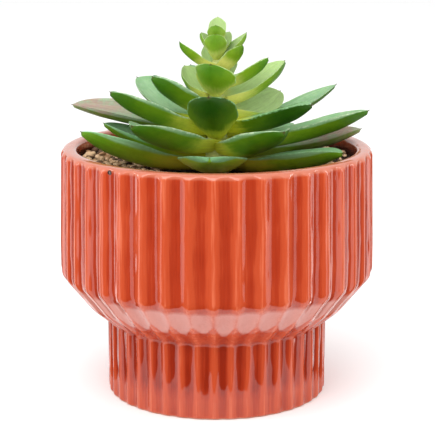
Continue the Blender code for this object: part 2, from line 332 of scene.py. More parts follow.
@dataclass(frozen=True)
class LeafSkin:
    """A fleshy leaf: chalky blue-green above, deep green below, yellow where it joins.

    Under and under_far colour the underside near the stem and near the tip. Yellow is how
    far along the leaf the foot colour runs out. Wrap is how far the upper colour reaches
    round the edges, less if negative. Cap spreads the upper colour over the tip, for a leaf
    seen end on, and leaves out the dried point. Blush is the strength of the warm flush.
    """

    name: str
    upper: Colour
    under: Colour
    under_far: Colour
    foot: Colour
    edge: Colour
    wrap: float = 0.0
    yellow: float = 0.52
    cap: float = 0.0
    blush: float = 0.0
    flush: Colour = (0.38, 0.24, 0.20)
    dried: Colour = (0.07, 0.04, 0.015)

    def material(self) -> bpy.types.Material:
        """Build the skin from the marks on a leaf's mesh.

        Returns:
            The material, which reads the along, across, face, shift and wide attributes.
        """
        bench = Bench("Leaf " + self.name)
        where = bench.place()
        along = bench.attribute("along")
        across = bench.attribute("across")
        face = bench.attribute("face")
        shift = bench.attribute("shift")
        veins = bench.noise(where, 7.0 * MM, 4.0, 0.6)
        mottle = bench.noise(where, 1.6 * MM, 3.0, 0.6)
        grain = bench.noise(where, 0.35 * MM, 2.0, 0.6)
        lengthwise = bench.node(
            "ShaderNodeCombineXYZ", {},
            {0: bench.attribute("wide") * 9.0, 1: along * 1.3, 2: shift * 40.0 + face * 0.8},
        )
        streaks = bench.noise(lengthwise, 0.6, 4.0, 0.65)
        reach = along + (veins - 0.5) * 0.24 + (shift - 0.5) * 0.20 + (streaks - 0.5) * 0.30
        below = bench.mix(reach.fade(0.40 * self.yellow, self.yellow), self.foot, self.under)
        below = bench.mix(
            (reach - across * 0.12).fade(self.yellow - 0.17, self.yellow + 0.33),
            below, self.under_far,
        )
        above = bench.mix(reach.fade(0.02, 0.38), self.foot, self.upper)
        above = bench.mix(veins.fade(0.35, 0.75) * 0.25, above, self.edge)
        turned = face + along.fade(0.15, 0.65) * self.wrap * (1.0 - along.fade(0.75, 1.0) * 0.7)
        if self.cap > 0.0:
            turned = turned + along.fade(0.80, 0.97) * self.cap
        side = (turned + (mottle - 0.5) * 0.06 + (streaks - 0.5) * 0.12).fade(-0.14, 0.05)
        colour = bench.mix(side, below, above)
        lip = (across + (mottle - 0.5) * 0.05).fade(0.95, 0.99) * along.fade(0.12, 0.4)
        colour = bench.mix(lip * mottle.fade(0.30, 0.70), colour, self.edge)
        if self.blush > 0.0:
            warm = reach.fade(0.35, 0.85) * veins.fade(0.30, 0.60) * self.blush
            colour = bench.mix(warm * (side * 0.7 + 0.3), colour, self.flush)
        shade = 1.0 + (shift - 0.5) * 0.24 + (grain - 0.5) * 0.22 + (mottle - 0.5) * 0.26
        shade = shade + (streaks - 0.5) * 0.70
        colour = bench.node(
            "ShaderNodeVectorMath", {"operation": "SCALE"}, {0: colour, "Scale": shade}
        )
        if self.cap == 0.0:
            colour = bench.mix(along.fade(0.968, 0.990) * 0.8, colour, self.dried)
        bump = bench.bump(veins * 0.4 + streaks * 0.5 + mottle * 0.2 + grain * 0.1, 0.25 * MM, 0.6)
        return bench.surface(
            Base_Color=colour,
            Roughness=0.36 + mottle * 0.12 + side * 0.12,
            Specular_IOR_Level=0.14,
            Subsurface_Weight=0.08,
            Subsurface_Radius=(0.5, 1.0, 0.1),
            Subsurface_Scale=1.2 * MM,
            Normal=bump,
        )


SKINS = {
    LeafKind.HEART: LeafSkin(
        "heart", (0.33, 0.46, 0.18), (0.20, 0.33, 0.024), (0.10, 0.22, 0.010),
        (0.66, 0.70, 0.20), (0.44, 0.58, 0.26), yellow=0.60),
    LeafKind.INNER: LeafSkin(
        "inner", (0.36, 0.51, 0.20), (0.18, 0.31, 0.010), (0.050, 0.155, 0.003),
        (0.76, 0.72, 0.19), (0.42, 0.56, 0.24), yellow=0.62),
    LeafKind.MIDDLE: LeafSkin(
        "middle", (0.21, 0.38, 0.19), (0.15, 0.27, 0.007), (0.034, 0.115, 0.002),
        (0.70, 0.70, 0.08), (0.50, 0.62, 0.42), wrap=0.18),
    # Painted shade for leaves that sit in shade: the middle colouring, painted darker underneath,
    # with less of the upper colour at the edges.
    LeafKind.PAINTED_SHADE: LeafSkin(
        "dark", (0.22, 0.39, 0.20), (0.11, 0.20, 0.002), (0.014, 0.062, 0.0006),
        (0.74, 0.72, 0.06), (0.26, 0.48, 0.24), wrap=-0.20, yellow=0.42),
    LeafKind.OUTER: LeafSkin(
        "outer", (0.20, 0.39, 0.18), (0.20, 0.31, 0.010), (0.09, 0.22, 0.007),
        (0.52, 0.46, 0.03), (0.26, 0.50, 0.27), wrap=0.30),
    # Painted light for the front leaf, whose underside faces down by the rim: it is painted much
    # lighter than the outer leaves' underside.
    LeafKind.PAINTED_LIGHT: LeafSkin(
        "front", (0.15, 0.34, 0.16), (0.34, 0.40, 0.014), (0.15, 0.30, 0.010),
        (0.56, 0.50, 0.03), (0.26, 0.50, 0.27), wrap=0.08, cap=0.85),
    LeafKind.BLUSHED: LeafSkin(
        "blushed", (0.27, 0.40, 0.25), (0.10, 0.18, 0.008), (0.10, 0.18, 0.03),
        (0.26, 0.28, 0.04), (0.40, 0.42, 0.32), wrap=0.30, blush=0.85),
}


@dataclass(frozen=True)
class StemSkin:
    """A pale yellow-green stem with faint scars where leaves have been."""

    pale: Colour = (0.66, 0.70, 0.30)
    dull: Colour = (0.42, 0.46, 0.12)

    def material(self) -> bpy.types.Material:
        """Build the stem's skin from blotches and rings.

        Returns:
            The material.
        """
        bench = Bench("Stem skin")
        where = bench.place()
        blotch = bench.noise(where, 3.0 * MM, 4.0, 0.6)
        rings = bench.noise(bench.stretch(where, (0.2, 0.2, 1.0)), 0.9 * MM, 3.0, 0.6)
        colour = bench.mix((blotch * 0.6 + rings * 0.4).fade(0.35, 0.65), self.dull, self.pale)
        return bench.surface(
            Base_Color=colour, Roughness=0.45 + blotch * 0.15,
            Normal=bench.bump(rings * 0.6 + blotch * 0.4, 0.4 * MM, 0.7),
        )


@dataclass(frozen=True)
class PottingMix:
    """Dark, crumbly potting mix with bark and a few pale specks."""

    dark: Colour = (0.018, 0.008, 0.004)
    bark: Colour = (0.10, 0.045, 0.020)
    speck: Colour = (0.42, 0.33, 0.22)
    # Painted shade in the gaps between crumbs.
    painted_crevice_shade: Colour = (0.006, 0.003, 0.002)

    def material(self) -> bpy.types.Material:
        """Build the soil from crumbs, each of its own tint.

        Returns:
            The material.
        """
        bench = Bench("Potting mix")
        where = bench.place()
        crumbs = bench.cells(where, 1.7 * MM)
        tint = bench.cells(where, 1.7 * MM, "Color")
        dust = bench.noise(where, 0.5 * MM, 4.0, 0.7)
        patch = bench.noise(where, 8.0 * MM, 3.0, 0.6)
        red = bench.node("ShaderNodeSeparateColor", {}, {0: tint})
        colour = bench.mix((red * 0.7 + patch * 0.5).fade(0.3, 0.9), self.dark, self.bark)
        colour = bench.mix(red.fade(0.90, 0.97) * 0.8, colour, self.speck)
        # Painted shade: the gaps between crumbs are darkened.
        colour = bench.mix(crumbs.fade(0.35, 0.75) * 0.7, colour, self.painted_crevice_shade)
        return bench.surface(
            Base_Color=colour, Roughness=0.92 + dust * 0.05,
            Normal=bench.bump((1.0 - crumbs) * 0.7 + dust * 0.3, 0.8 * MM, 0.9),
        )


@dataclass(frozen=True)
class GravelChip:
    """Dry cream and tan chips, each of its own tone."""

    cream: Colour = (0.84, 0.56, 0.34)
    tan: Colour = (0.42, 0.21, 0.09)
    dark: Colour = (0.12, 0.06, 0.03)
    dust: Colour = (0.80, 0.64, 0.42)

    def material(self) -> bpy.types.Material:
        """Build the stone, paler or darker by each chip's own tone.

        Returns:
            The material, which reads the tone attribute.
        """
        bench = Bench("Gravel chip")
        where = bench.place()
        tone = bench.attribute("tone")
        grit = bench.noise(where, 0.4 * MM, 4.0, 0.7)
        stain = bench.noise(where, 1.5 * MM, 3.0, 0.6)
        colour = bench.mix(tone.fade(0.35, 0.75), self.cream, self.tan)
        colour = bench.mix(tone.fade(0.62, 0.72), colour, self.dark)
        colour = bench.mix(stain.fade(0.45, 0.75) * 0.45, colour, self.tan)
        colour = bench.mix(grit.fade(0.55, 0.80) * 0.4, colour, self.dust)
        return bench.surface(
            Base_Color=colour, Roughness=0.70 + grit * 0.2,
            Normal=bench.bump(grit * 0.7 + stain * 0.3, 0.3 * MM, 0.8),
        )


@dataclass(frozen=True)
class TableTop:
    """A plain pale table."""

    tone: Colour = (0.97, 0.97, 0.97)
    worn: Colour = (0.93, 0.93, 0.93)

    def material(self) -> bpy.types.Material:
        """Build the table's matt paint, very slightly clouded.

        Returns:
            The material.
        """
        bench = Bench("Pale table")
        cloud = bench.noise(bench.place(), 60.0 * MM, 2.0, 0.5)
        colour = bench.mix(cloud.fade(0.3, 0.7) * 0.05, self.tone, self.worn)
        return bench.surface(Base_Color=colour, Roughness=0.9, Specular_IOR_Level=0.0)


@dataclass(frozen=True)
class CardPaint:
    """Dull black card, or the same card glowing white, seen only as a painted reflection."""

    glow: float = 0.0
    black: Colour = (0.03, 0.03, 0.03)

    def material(self) -> bpy.types.Material:
        """Build the card's paint and return its material."""
        return Bench("Card").surface(
            Base_Color=(*self.black, 1.0), Roughness=0.9,
            Emission_Color=(1.0, 1.0, 1.0, 1.0), Emission_Strength=self.glow,
        )


# ---- mesh making ---------------------------------------------------------------------------
def turned(radius: np.ndarray, height: np.ndarray, turn: np.ndarray) -> np.ndarray:
    """Turn radii and heights round the pot's axis into a grid of points.

    A point stands at the radius times the cosine and sine of its turn, at its height.

    Args:
        radius: One for each row, or rows by columns, in metres.
        height: One for each row, in metres.
        turn: The angle of each column.

    Returns:
        Rows by columns by 3.
    """
    radius = radius if radius.ndim == 2 else radius[:, None]
    across = radius * np.cos(turn)
    return np.stack([
        across, radius * np.sin(turn), np.broadcast_to(height[:, None], across.shape),
    ], -1)


def round_turn(count: int) -> np.ndarray:
    """Give evenly spaced angles for one whole turn."""
    return np.arange(count) / count * TAU


def skin_mesh(
    name: str, points: np.ndarray, layers: dict[str, np.ndarray] | None = None,
    start: np.ndarray | None = None, end: np.ndarray | None = None,
) -> bpy.types.Object:
    """Skin a grid of points that closes round its columns, with a point at each end.

    Row i and column j of the grid join to their neighbours with one quad; the last column
    joins the first. The first and last rows fan in to their end points.

    Args:
        name: The object's name.
        points: Rows by columns by 3, in metres, turning anticlockwise seen from the far end.
        layers: Numbers to store on the points, each of rows by columns.
        start: The first end point; the middle of the first row if left out.
        end: The last end point; the middle of the last row if left out.

    Returns:
        The object, smooth shaded, at the origin.
    """
    rows, columns, _ = points.shape
    start = points[0].mean(axis=0) if start is None else np.asarray(start, float)
    end = points[-1].mean(axis=0) if end is None else np.asarray(end, float)
    every = np.vstack([points.reshape(-1, 3), start[None], end[None]])
    index = np.arange(rows * columns).reshape(rows, columns)
    after = np.roll(index, -1, axis=1)
    quads = np.stack([index[:-1], after[:-1], after[1:], index[1:]], -1).reshape(-1, 4)
    first, last = rows * columns, rows * columns + 1
    low = np.stack([after[0], index[0], np.full(columns, first)], -1)
    high = np.stack([index[-1], after[-1], np.full(columns, last)], -1)
    ends = np.vstack([low, high])
    stored = {
        key: np.append(value.reshape(-1), [value[0].mean(), value[-1].mean()])
        for key, value in (layers or {}).items()
    }
    return mesh_object(name, every, quads, ends, stored)


def mesh_object(
    name: str, points: np.ndarray, quads: np.ndarray, triangles: np.ndarray,
    layers: dict[str, np.ndarray],
) -> bpy.types.Object:
    """Put whole arrays of points and faces into a new mesh.

    Args:
        name: The object's name.
        points: Points by 3, in metres.
        quads: Four-sided faces, as rows of point numbers.
        triangles: Three-sided faces, as rows of point numbers.
        layers: Numbers to store on the points.

    Returns:
        The object, smooth shaded, linked to the scene.
    """
    mesh = bpy.data.meshes.new(name)
    mesh.vertices.add(len(points))
    mesh.vertices.foreach_set("co", np.ascontiguousarray(points, dtype=np.float32).ravel())
    corners = np.concatenate([quads.ravel(), triangles.ravel()]).astype(np.int32)
    starts = np.concatenate([
        np.arange(len(quads)) * 4, len(quads) * 4 + np.arange(len(triangles)) * 3,
    ]).astype(np.int32)
    mesh.loops.add(len(corners))
    mesh.loops.foreach_set("vertex_index", corners)
    mesh.polygons.add(len(starts))
    mesh.polygons.foreach_set("loop_start", starts)
    for key, value in layers.items():
        stored = mesh.attributes.new(key, "FLOAT", "POINT")
        stored.data.foreach_set("value", np.ascontiguousarray(value, dtype=np.float32))
    mesh.update(calc_edges=True)
    mesh.validate()
    mesh.shade_smooth()
    made = bpy.data.objects.new(name, mesh)
    bpy.context.scene.collection.objects.link(made)
    return made


def chip_ball() -> tuple[np.ndarray, np.ndarray]:
    """Work out a ball of 42 points and 80 faces.

    It starts from twelve corners: one at each end, and two rings of five, half a step apart,
    at heights of 1 over the root of 5. The middle of each edge is pushed out to the ball,
    and each face becomes four.

    Returns:
        The points, of radius 1, and the faces as rows of three point numbers.
    """
    step, level = np.arange(5), 1.0 / math.sqrt(5.0)
    after, upper = (step + 1) % 5, step / 5 * TAU
    ends = np.array([[0.0, 0.0, -1.0], [0.0, 0.0, 1.0]])
    rings = [
        np.stack([2 * level * np.cos(turn), 2 * level * np.sin(turn), np.full(5, high)], 1)
        for turn, high in ((upper + TAU / 10, -level), (upper, level))
    ]
    corners = np.vstack([ends[:1], *rings, ends[1:]])
    low, high, bottom = step + 1, step + 6, np.zeros(5, int)
    faces = np.vstack([
        np.stack([bottom, after + 1, low], 1), np.stack([low, after + 1, after + 6], 1),
        np.stack([high, low, after + 6], 1), np.stack([high, after + 6, bottom + 11], 1),
    ])
    edges = np.sort(faces[:, [[0, 1], [1, 2], [2, 0]]].reshape(-1, 2), 1)
    pairs, which = np.unique(edges, axis=0, return_inverse=True)
    middles = corners[pairs].mean(axis=1)
    middles = middles / np.linalg.norm(middles, axis=1)[:, None]
    (a, b, c), (ab, bc, ca) = faces.T, which.reshape(-1, 3).T + len(corners)
    split = [(a, ab, ca), (ab, b, bc), (ca, bc, c), (ab, bc, ca)]
    return np.vstack([corners, middles]), np.vstack([np.stack(face, 1) for face in split])


def dress(
    piece: bpy.types.Object, material: bpy.types.Material, node: str,
) -> bpy.types.Object:
    """Give a piece its material, ride it on the one body, and let it stand for a node.

    Args:
        piece: The new piece.
        material: Its finish.
        node: The CAD node that it stands for.

    Returns:
        The piece.
    """
    piece.data.materials.append(material)
    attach(piece, "root")
    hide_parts(node)
    LOG.info("%s: %d faces, stands for %s", piece.name, len(piece.data.polygons), node)
    return piece


def smooth_path(corners: list[tuple[float, float, float]], step: float) -> np.ndarray:
    """Round the corners of a path and space points along it.

    Each corner (radius, height, rounding) becomes an arc that touches both of its legs at
    the rounding's tangent length; the whole path is then sampled at an even step.

    Args:
        corners: Points of the profile, each with its rounding radius, in metres.
        step: The space between samples, in metres.

    Returns:
        Samples by 2: radius and height.
    """
    spots = np.array([(r, z) for r, z, _ in corners])
    pieces = [spots[:1]]
    for here in range(1, len(spots) - 1):
        into = spots[here] - spots[here - 1]
        away = spots[here + 1] - spots[here]
        legs = np.hypot(*into), np.hypot(*away)
        into, away = into / legs[0], away / legs[1]
        bend = math.acos(float(np.clip(into @ away, -1.0, 1.0)))
        reach = min(corners[here][2] * math.tan(bend / 2.0), 0.48 * min(legs))
        share = np.linspace(0.0, 1.0, 13)[:, None]
        enter, leave = spots[here] - into * reach, spots[here] + away * reach
        arc = (1 - share) ** 2 * enter + 2 * share * (1 - share) * spots[here]
        pieces.append(arc + share**2 * leave)
    path = np.vstack([*pieces, spots[-1:]])
    gone = np.concatenate([[0.0], np.cumsum(np.hypot(*np.diff(path, axis=0).T))])
    places = np.linspace(0.0, gone[-1], max(2, int(round(gone[-1] / step)) + 1))
    return np.stack([np.interp(places, gone, path[:, 0]), np.interp(places, gone, path[:, 1])], 1)


# ---- the pot -------------------------------------------------------------------------------
@dataclass
class Pot:
    """The fluted bowl on its fluted foot, with its turned inside and its bare foot ring."""

    radius: float = 70.0 * MM
    height: float = 111.0 * MM
    foot_radius: float = 49.3 * MM
    foot_height: float = 33.5 * MM
    bowl_top: float = 55.5 * MM
    wall: float = 8.2 * MM
    ribs: int = 42
    rib_depth: float = 1.4 * MM
    foot_rib_depth: float = 1.1 * MM
    first_rib: float = -91.2
    floor: float = 9.0 * MM
    recess: float = 3.0 * MM
    foot_ring: float = 9.0 * MM
    columns_per_rib: int = 12
    seed: int = 3
    glaze: CoralGlaze = field(default_factory=CoralGlaze)

    def profiles(self) -> tuple[np.ndarray, np.ndarray]:
        """Give the outer profile, foot ring to rim, and the inner one, rim to floor.

        Returns:
            Two arrays of radius and height.
        """
        cavity = self.radius - self.wall
        ring = self.foot_radius - 1.8 * MM - self.foot_ring
        foot_inside = self.foot_radius - self.wall
        outer = smooth_path([
            (ring, self.recess - 0.4 * MM, 0.0), (ring, 0.0, 0.5 * MM),
            (self.foot_radius, 0.0, 2.0 * MM),
            (self.foot_radius, self.foot_height, 0.9 * MM),
            (self.foot_radius + 8.6 * MM, self.foot_height + 7.2 * MM, 30.0 * MM),
            (self.radius, self.bowl_top, 6.0 * MM),
            (self.radius, 68.0 * MM, 30.0 * MM),
            (self.radius - 0.8 * MM, self.height - 8.0 * MM, 6.0 * MM),
            (self.radius - 1.0 * MM, self.height, 4.4 * MM),
            (cavity, self.height, 1.9 * MM), (cavity, self.height - 5.0 * MM, 0.0),
        ], 0.95 * MM)
        inner = smooth_path([
            (cavity, self.height - 5.0 * MM, 0.0), (cavity, self.bowl_top + 2.0 * MM, 8.0 * MM),
            (foot_inside + 4.0 * MM, self.foot_height + 5.0 * MM, 8.0 * MM),
            (foot_inside, self.foot_height - 1.0 * MM, 4.0 * MM),
            (foot_inside, self.floor, 3.0 * MM), (4.0 * MM, self.floor, 0.0),
        ], 6.0 * MM)
        return outer, inner

    def ribs_cut(
        self, radius: np.ndarray, height: np.ndarray, crest: np.ndarray, luck: np.ndarray,
    ) -> np.ndarray:
        """Work out how deep the ribs cut into the profile.

        Round one rib the cut is the rib depth times 1 minus crest, which gives a narrow
        round ridge and a wide flute. Where the profile has already turned in by some drop, as
        at the foot's edge and below the rim, the cut is what is left of it after that drop,
        so the flutes run out in a wavy line. Each flute also wavers up its height by two
        sines, and is a little deeper or shallower than the next.

        Args:
            radius: The outer profile's radii, in metres.
            height: Its heights, in metres.
            crest: 1 on a ridge and 0 in a flute, for each column.
            luck: Three random numbers for each column, the same all round one rib.

        Returns:
            The cut in metres, rows by columns.
        """
        on_foot = height < self.foot_height
        plain = np.where(on_foot, self.foot_radius, self.radius - 0.9 * MM)
        turned_in = on_foot & (height < 3.0 * MM) | (height > 90.0 * MM)
        drop = np.where(turned_in, np.maximum(plain - radius, 0.0), 0.0)
        blend = np.clip((height - self.foot_height) / (20.0 * MM), 0.0, 1.0)
        depth = self.foot_rib_depth + (self.rib_depth - self.foot_rib_depth) * blend
        plain_turned = (radius < self.foot_radius - 4.0 * MM) | (height > self.height - 0.8 * MM)
        depth = np.where(plain_turned, 0.0, depth)[:, None]
        high = height[:, None] / MM
        waver = 0.09 * np.sin(high / 4.6 + TAU * luck[0])
        waver = waver + 0.05 * np.sin(high / 1.9 + TAU * luck[1]) + (luck[2] - 0.5) * 0.3
        wanted = depth * (1.0 - crest) - drop[:, None]
        wanted = wanted + waver * MM * (1.0 - crest) * (depth > 0.0)
        soft = 0.12 * MM
        cut = soft * np.log1p(np.exp(np.clip(wanted / soft, -40.0, 40.0)))
        return np.where(depth > 0.0, cut, 0.0)

    def marks(
        self, height: np.ndarray, crest: np.ndarray, luck: np.ndarray, cut: np.ndarray,
        more: int,
    ) -> dict[str, np.ndarray]:
        """Work out the numbers that the glaze reads.

        Ridge is 1 on a ridge and falls with the cut, less where glaze pooled on the foot. Rim
        is 1 over the shoulder of the rim. The reflection band is 1 under the body, where a
        reflection of the table is painted, and its lower edge has a tooth in each flute. Inner is
        1 inside, where shade is painted, and bare is 1 under the foot.

        Args:
            height: The outer profile's heights, in metres.
            crest: 1 on a ridge and 0 in a flute, for each column.
            luck: Three random numbers for each column.
            cut: The ribs' cut, rows by columns.
            more: How many rows the inside adds.

        Returns:
            One number of each name for each point.
        """
        high = height[:, None] / MM
        inside, whole = np.zeros((more, len(crest))), np.ones(len(crest))
        # The band where a reflection of the table is painted under the body, with a tooth in each
        # flute at its lower edge.
        teeth = (2.6 + 2.4 * luck[2]) * (1.0 - crest)
        lower = np.interp(high + teeth, [43.4, 45.2], [0.0, 1.0])
        painted_reflection_band = lower * np.interp(high, [51.0, 54.0], [1.0, 0.0]) * (1.0 - 0.35 * crest**8)
        pooled = np.interp(high, [8.0, 14.0, 33.0, 35.0], [0.0, 0.55, 0.55, 0.0])
        ridge = 1.0 - cut / self.rib_depth - pooled * (1.3 - crest)
        rim = np.clip((height - (self.height - 3.2 * MM)) / (2.0 * MM), 0.0, 1.0)
        bare = np.clip(1.0 - height / (0.5 * MM), 0.0, 1.0)
        # Inner marks where shade is painted inside the pot, fading in over the rim's inner edge.
        inner = np.concatenate([np.zeros(len(height) - 3), [0.2, 0.6, 1.0], np.ones(more)])
        return {
            "ridge": np.concatenate([ridge, inside + 0.45]),
            "rim": np.concatenate([rim[:, None] * whole, inside]),
            "bare": np.concatenate([bare[:, None] * whole, inside]),
            "inner": inner[:, None] * whole,
            "painted_reflection_band": np.concatenate([painted_reflection_band, inside]),
        }

    def build(self) -> bpy.types.Object:
        """Make the whole pot as one closed skin.

        Each ring of the outside is a circle of the profile's radius less the ribs' cut, and
        crest is the 1.5th power of a raised cosine round each rib.

        Returns:
            The pot.
        """
        outer, inner = self.profiles()
        turn = round_turn(self.ribs * self.columns_per_rib) + math.radians(self.first_rib)
        phase = np.arange(len(turn)) / self.columns_per_rib * TAU
        crest = (0.5 + 0.5 * np.cos(phase)) ** 1.5
        dice = np.random.default_rng(self.seed)
        luck = dice.random((3, self.ribs)).repeat(self.columns_per_rib, 1)
        radius, height = outer.T
        cut = self.ribs_cut(radius, height, crest, luck)
        points = np.concatenate([
            turned(radius[:, None] - cut, height, turn), turned(inner[1:, 0], inner[1:, 1], turn),
        ])
        pot = skin_mesh(
            "glazed_pot", points, self.marks(height, crest, luck, cut, len(inner) - 1),
            start=(0.0, 0.0, self.recess), end=(0.0, 0.0, self.floor),
        )
        return dress(pot, self.glaze.material(), "pot")


# ---- soil, gravel and stem -----------------------------------------------------------------
@dataclass
class Bed:
    """The potting mix and the gravel lying on it."""

    pot: Pot
    soil_below_rim: float = 11.5 * MM
    gap: float = 0.3 * MM
    gravel_rise: float = 6.5 * MM
    chips: int = 2100
    seed: int = 7
    mix: PottingMix = field(default_factory=PottingMix)
    stone: GravelChip = field(default_factory=GravelChip)

    @property
    def outer(self) -> float:
        """The radius of the soil's edge."""
        return self.pot.radius - self.pot.wall - self.gap

    @property
    def soil_top(self) -> float:
        """The height of the soil at the stem."""
        return self.pot.height - self.soil_below_rim

    def gravel_height(self, radius: np.ndarray) -> np.ndarray:
        """Give the mean height of the gravel, which rises towards the pot's wall.

        Args:
            radius: Distances from the pot's axis, in metres.

        Returns:
            Heights in metres, by straight steps.
        """
        share = radius / self.outer
        edge = self.soil_top + self.gravel_rise
        return np.interp(
            share, [0.0, 0.39, 0.61, 0.81, 0.93, 1.0],
            [self.soil_top + 0.6 * MM, self.soil_top + 1.4 * MM, edge - 3.8 * MM,
             edge - 2.0 * MM, edge - 0.2 * MM, edge],
        )

    def build_soil(self) -> bpy.types.Object:
        """Make the soil: rings of a lumpy disc, with a plain side and bottom below it.

        The height of the disc is the gravel's mean height less 1.6 mm, plus a sum of three
        crossed and warped sine waves of 2 to 9 mm length, each no more than 0.25 mm high.

        Returns:
            The soil.
        """
        turn = round_turn(300)
        steps = np.linspace(self.outer, 3.0 * MM, 84)
        across, along = steps[:, None] * np.cos(turn), steps[:, None] * np.sin(turn)
        lumps = 0.25 * np.sin(across * 700 + 2.0 * np.sin(along * 410))
        lumps = lumps + 0.22 * np.sin(along * 1250 + 2.4 * np.sin(across * 900))
        lumps = lumps + 0.16 * np.sin((across + along) * 2300 + np.sin(along * 1700))
        top = self.gravel_height(steps)[:, None] - 1.6 * MM + lumps * MM
        disc = np.stack([across, along, top], -1)
        low = [(self.outer, 58.0 * MM), (self.outer - 8.0 * MM, 47.0 * MM),
               (40.0 * MM, 33.0 * MM), (40.0 * MM, 12.0 * MM), (5.0 * MM, 9.5 * MM)]
        radii, heights = np.array(low[::-1]).T
        side = turned(radii, heights, turn)
        soil = skin_mesh("potting_mix", np.concatenate([side, disc]))
        return dress(soil, self.mix.material(), "soil")

    def chip_shapes(
        self, base: np.ndarray, number: int, dice: np.random.Generator,
    ) -> np.ndarray:
        """Shape every chip from one ball, round its own middle.

        A sine along a random direction makes the ball bulge, and a flat cut on a random side
        gives it a broken face. It is then stretched, tilted and spun.

        Args:
            base: The ball's points.
            number: How many chips.
            dice: The source of random numbers.

        Returns:
            Chips by points by 3, in metres.
        """
        size = (0.80 + 1.15 * dice.random(number) ** 1.8) * MM
        flat = np.stack([
            0.85 + 0.5 * dice.random(number), 0.75 + 0.4 * dice.random(number),
            0.5 + 0.3 * dice.random(number),
        ], 1)
        bulge = dice.normal(0.0, 1.0, (number, 3))
        bulge = bulge / np.linalg.norm(bulge, axis=1)[:, None]
        swell = np.sin(3.0 * (base @ bulge.T).T + dice.random(number)[:, None] * 6.0)
        local = base[None] * (1.0 + 0.16 * swell)[:, :, None]
        cut = dice.normal(0.0, 1.0, (number, 3))
        cut = cut / np.linalg.norm(cut, axis=1)[:, None]
        over = np.maximum(np.einsum("nij,nj->ni", local, cut) - 0.55, 0.0)
        local = local - over[:, :, None] * cut[:, None, :]
        x, y, z = np.moveaxis(local * flat[:, None, :] * size[:, None, None], 2, 0)
        spin, tilt = dice.random(number)[:, None] * TAU, dice.normal(0.0, 0.45, number)[:, None]
        level = x * np.cos(tilt) + z * np.sin(tilt)
        upright = z * np.cos(tilt) - x * np.sin(tilt)
        return np.stack([
            level * np.cos(spin) - y * np.sin(spin), level * np.sin(spin) + y * np.cos(spin),
            upright,
        ], -1)

    def build_gravel(self) -> bpy.types.Object:
        """Scatter the chips over the bed, thicker to the left and towards the pot's wall.

        A chip's distance grows with the 0.55th power of a random share, and it is kept more
        often the nearer its direction is to that of the heap. Any point past the soil's
        edge is drawn in to it.

        Returns:
            The gravel.
        """
        dice = np.random.default_rng(self.seed)
        base, faces = chip_ball()
        share = dice.random(self.chips) ** 0.55
        turn = dice.random(self.chips) * TAU
        heap = 0.5 + 0.5 * np.cos(turn - math.radians(215.0))
        kept = dice.random(self.chips) < 0.30 + 0.70 * heap**1.5
        share, turn = share[kept], turn[kept]
        radius = self.outer * (0.36 + 0.605 * share)
        number, each = len(radius), len(base)
        chips = self.chip_shapes(base, number, dice)
        rest = self.gravel_height(radius) - 1.1 * MM + 0.9 * MM * dice.random(number)
        middle = np.stack([radius * np.cos(turn), radius * np.sin(turn), rest], -1)
        chips = chips + middle[:, None]
        reach = np.hypot(chips[..., 0], chips[..., 1])
        chips[..., :2] *= np.minimum(1.0, (self.outer + 0.2 * MM) / reach)[..., None]
        every = (faces[None] + (np.arange(number) * each)[:, None, None]).reshape(-1, 3)
        tone = np.repeat(dice.random(number), each)
        gravel = mesh_object(
            "gravel_chips", chips.reshape(-1, 3), np.empty((0, 4), int), every, {"tone": tone}
        )
        return dress(gravel, self.stone.material(), "gravel")


@dataclass(frozen=True)
class Leaf:
    """One leaf's place and size, in millimetres and degrees, with heights above the soil.

    The tip is given by its reach from the pot's axis and its height. Sag is how far the
    middle hangs below a straight line, roll turns the blade about its own length, and cup
    is how far its edges stand up, as a share of half its width.
    """

    node: str
    kind: LeafKind
    direction: float
    base_height: float
    reach: float
    tip_height: float
    width: float
    sag: float
    roll: float = 0.0
    cup: float = 0.42

    @property
    def luck(self) -> float:
        """A number from 0 to 1 that is this leaf's own, from its direction and width."""
        return (math.sin(self.direction * 12.9898 + self.width) * 43758.5) % 1.0


